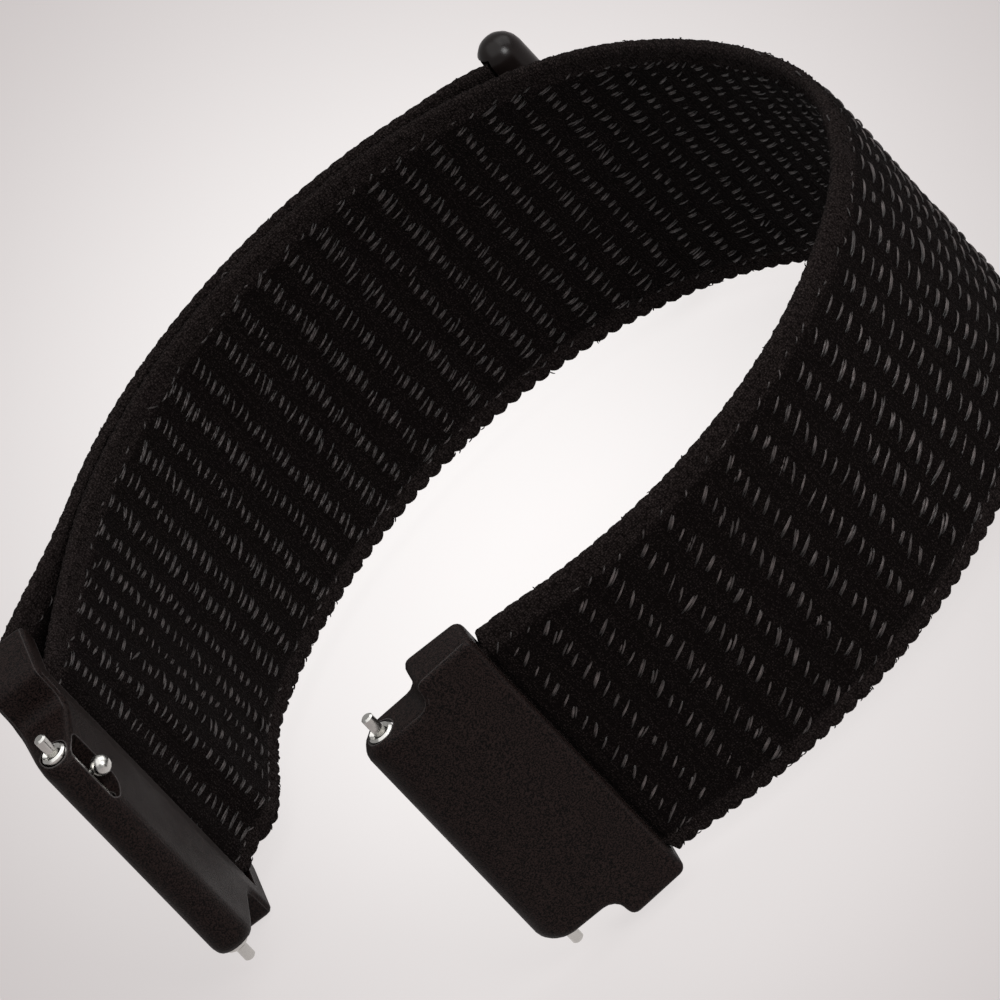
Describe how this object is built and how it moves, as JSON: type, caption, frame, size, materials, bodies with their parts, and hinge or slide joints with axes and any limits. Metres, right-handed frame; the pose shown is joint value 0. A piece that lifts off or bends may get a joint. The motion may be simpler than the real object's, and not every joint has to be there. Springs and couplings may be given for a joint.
{
  "type": "hook and loop watch strap",
  "caption": "Woven hook and loop watch strap closed into a loop, with a bonded adapter, a slotted adapter that the band folds round, quick-release spring bars and a pull tab.",
  "frame": {"origin": "middle of the closed strap's box in plan, at its lower edge", "axes": "+Z across the band's width, towards the edge with the release knobs; +Y towards the side with the flap; +X away from the adapters, across the wrist"},
  "size_m": [0.067, 0.0612, 0.0256],
  "materials": {
    "nylon_weave": "black woven nylon with a loop pile",
    "hook_tape": "black moulded hooks on tape",
    "adapter_plastic": "black, matt moulded",
    "tab_plastic": "black, glossy moulded",
    "bar_steel": "polished stainless steel",
    "spring_steel": "drawn spring wire"
  },
  "bodies": {
    "band_clasp": {"band_clasp_section": "nylon_weave"},
    "loop_adapter": {"loop_adapter": "adapter_plastic", "loop_bar_tube": "bar_steel", "loop_bar_fixed_tip": "bar_steel", "loop_bar_spring": "spring_steel"},
    "loop_release": {"loop_bar_plunger": "bar_steel", "loop_bar_knob": "bar_steel"},
    "flap_1": {"flap_section_1": "nylon_weave"},
    "flap_2": {"flap_section_2": "nylon_weave", "hook_patch_1": "hook_tape"},
    "flap_3": {"flap_section_3": "nylon_weave", "hook_patch_2": "hook_tape", "pull_tab": "tab_plastic"},
    "band_1": {"band_section_1": "nylon_weave"},
    "band_2": {"band_section_2": "nylon_weave"},
    "band_3": {"band_section_3": "nylon_weave"},
    "band_end": {"band_end_section": "nylon_weave", "fixed_adapter": "adapter_plastic", "fixed_bar_tube": "bar_steel", "fixed_bar_fixed_tip": "bar_steel", "fixed_bar_spring": "spring_steel"},
    "fixed_release": {"fixed_bar_plunger": "bar_steel", "fixed_bar_knob": "bar_steel"}
  },
  "joints": [
    {"name": "loop_adapter_swing", "type": "hinge", "parent": "band_clasp", "child": "loop_adapter", "pos_m": [-0.02989, 0.00937, 0.0128], "axis": [0, 0, 1], "range_deg": [-40, 40]},
    {"name": "loop_bar_release", "type": "slide", "parent": "loop_adapter", "child": "loop_release", "axis": [0, 0, -1], "range_m": [0, 0.00145], "stiffness_N_per_m": 3, "springref_m": -0.001, "deforming": ["loop_bar_spring"]},
    {"name": "flap_hinge_1", "type": "hinge", "parent": "band_clasp", "child": "flap_1", "pos_m": [-0.0325, 0.01104, 0.0128], "axis": [0, 0, 1], "range_deg": [0, 60]},
    {"name": "flap_hinge_2", "type": "hinge", "parent": "flap_1", "child": "flap_2", "pos_m": [-0.01821, 0.02401, 0.0128], "axis": [0, 0, 1], "range_deg": [0, 60]},
    {"name": "flap_hinge_3", "type": "hinge", "parent": "flap_2", "child": "flap_3", "pos_m": [-0.00012, 0.03061, 0.0128], "axis": [0, 0, 1], "range_deg": [0, 60]},
    {"name": "band_flex_1", "type": "hinge", "parent": "band_clasp", "child": "band_1", "pos_m": [0.02626, 0.01537, 0.0128], "axis": [0, 0, 1], "range_deg": [-5, 40]},
    {"name": "band_flex_2", "type": "hinge", "parent": "band_1", "child": "band_2", "pos_m": [0.03322, -0.00234, 0.0128], "axis": [0, 0, 1], "range_deg": [-5, 40]},
    {"name": "band_flex_3", "type": "hinge", "parent": "band_2", "child": "band_3", "pos_m": [0.02787, -0.02046, 0.0128], "axis": [0, 0, 1], "range_deg": [-5, 40]},
    {"name": "band_flex_4", "type": "hinge", "parent": "band_3", "child": "band_end", "pos_m": [0.01146, -0.03005, 0.0128], "axis": [0, 0, 1], "range_deg": [-5, 40]},
    {"name": "fixed_bar_release", "type": "slide", "parent": "band_end", "child": "fixed_release", "axis": [0, 0, -1], "range_m": [0, 0.00145], "stiffness_N_per_m": 3, "springref_m": -0.001, "deforming": ["fixed_bar_spring"]}
  ]
}
